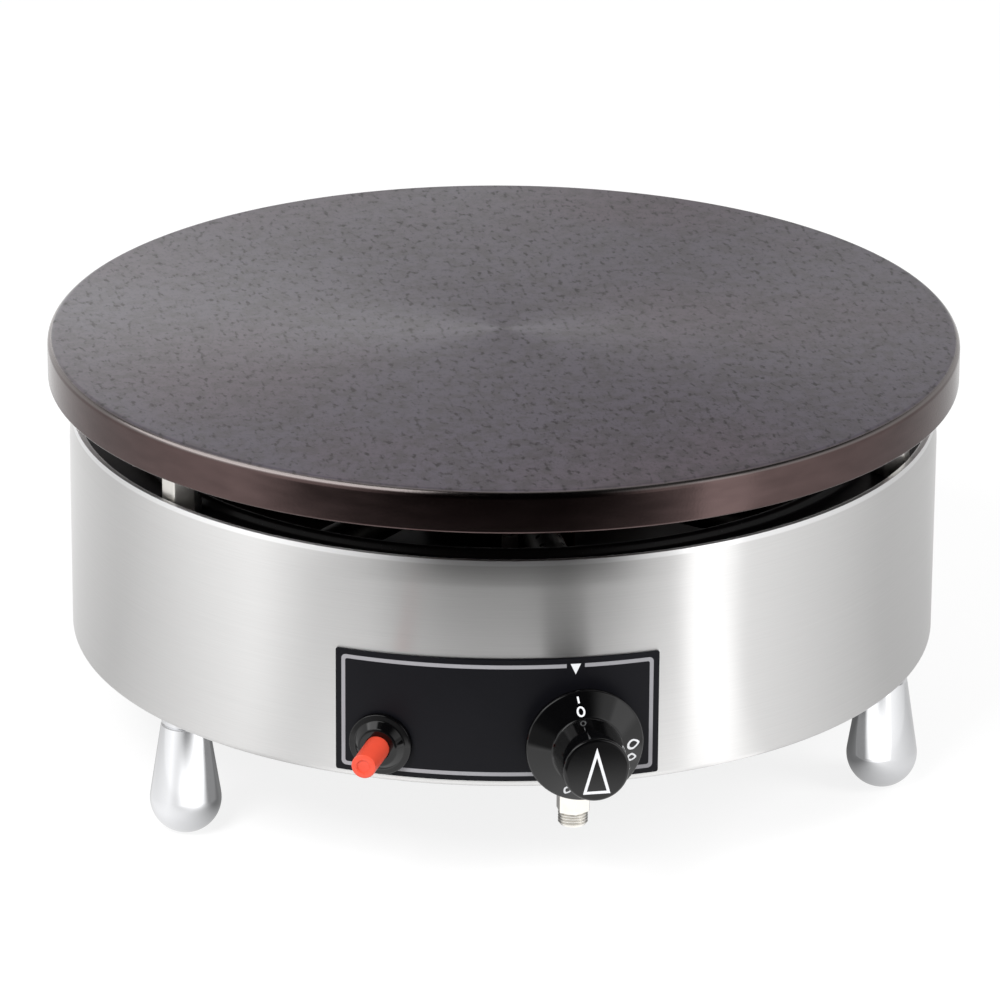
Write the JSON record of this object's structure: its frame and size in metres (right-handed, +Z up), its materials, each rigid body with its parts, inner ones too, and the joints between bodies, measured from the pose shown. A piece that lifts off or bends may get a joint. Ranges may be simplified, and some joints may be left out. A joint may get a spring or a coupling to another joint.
{
  "type": "gas crepe maker",
  "caption": "Round gas crepe maker: a thick cast griddle that lifts off its posts, over a star burner in a brushed steel drum with a push-and-turn knob, a piezo button and drop-shaped feet.",
  "frame": {"origin": "on the drum's axis, at the level that the feet stand on", "axes": "+Z up through the griddle; -Y is the front, where the gas knob looks; +X is to the right of someone facing the knob"},
  "size_m": [0.3999, 0.426, 0.1895],
  "materials": {
    "griddle_iron": "seasoned cast iron, machined face with fine pits",
    "stainless": "stainless sheet brushed round the drum",
    "galvanised": "bright zinc-plated steel",
    "black_enamel": "gloss black vitreous enamel",
    "panel_black": "satin black with a silver border line",
    "polished_aluminium": "polished",
    "nickel": "bright nickel plate",
    "burner_iron": "sand cast, dark",
    "burner_steel": "drawn stainless tube",
    "brass": "turned brass",
    "copper": "drawn copper",
    "spring_steel": "bright spring wire",
    "black_plastic": "gloss black moulding",
    "red_plastic": "orange-red moulding",
    "ceramic": "white glazed",
    "silicone": "black silicone sleeve"
  },
  "bodies": {
    "chassis": {"body_shell": "stainless", "base_pan": "galvanised", "pillar_left": "galvanised", "pillar_right": "galvanised", "pillar_rear": "galvanised", "tie_rod_left": "galvanised", "tie_rod_right": "galvanised", "tie_rod_rear": "galvanised", "burner_screws": "galvanised", "tap_nut": "galvanised", "magnet_unit": "galvanised", "burner_bowl": "black_enamel", "control_panel": "panel_black", "foot_left": "polished_aluminium", "foot_right": "polished_aluminium", "foot_rear": "polished_aluminium", "post_left": "nickel", "post_right": "nickel", "post_rear": "nickel", "gas_inlet": "nickel", "burner_riser": "burner_iron", "burner_cap": "burner_iron", "burner_arm_1": "burner_steel", "burner_arm_2": "burner_steel", "burner_arm_3": "burner_steel", "burner_arm_4": "burner_steel", "burner_arm_5": "burner_steel", "burner_arm_6": "burner_steel", "burner_arm_7": "burner_steel", "burner_arm_8": "burner_steel", "mixing_tube": "burner_steel", "air_shutter": "burner_steel", "gas_tap": "brass", "gas_jet": "brass", "jet_holder": "brass", "gas_pipe": "copper", "capillary": "copper", "thermocouple": "copper", "tap_spring": "spring_steel", "igniter_spring": "spring_steel", "spark_electrode": "spring_steel", "igniter_barrel": "black_plastic", "igniter_nut": "black_plastic", "electrode_insulator": "ceramic", "ignition_lead": "silicone"},
    "griddle": {"griddle_plate": "griddle_iron"},
    "tap_push": {"push_washer": "galvanised"},
    "knob": {"gas_knob": "black_plastic", "tap_spindle": "galvanised"},
    "plug": {"tap_plug": "brass"},
    "button": {"igniter_button": "red_plastic"}
  },
  "joints": [
    {"name": "griddle_lift", "type": "slide", "parent": "chassis", "child": "griddle", "axis": [0, 0, 1], "range_m": [0, 0.12]},
    {"name": "knob_push", "type": "slide", "parent": "chassis", "child": "tap_push", "axis": [0, 1, 0], "range_m": [0, 0.004], "stiffness_N_per_m": 900, "springref_m": -0.006, "deforming": ["tap_spring"]},
    {"name": "knob_turn", "type": "hinge", "parent": "tap_push", "child": "knob", "pos_m": [0, -0.21, 0.075], "axis": [0, -1, 0], "range_deg": [0, 200]},
    {"name": "plug_turn", "type": "hinge", "parent": "chassis", "child": "plug", "pos_m": [0, -0.163, 0.075], "axis": [0, -1, 0], "range_deg": [0, 200]},
    {"name": "igniter_press", "type": "slide", "parent": "chassis", "child": "button", "axis": [0.4274, 0.9041, 0], "range_m": [0, 0.007], "stiffness_N_per_m": 1500, "springref_m": -0.004, "deforming": ["igniter_spring"]}
  ],
  "couplings": [
    {"joint": "plug_turn", "follows": "knob_turn", "ratio": 1}
  ]
}
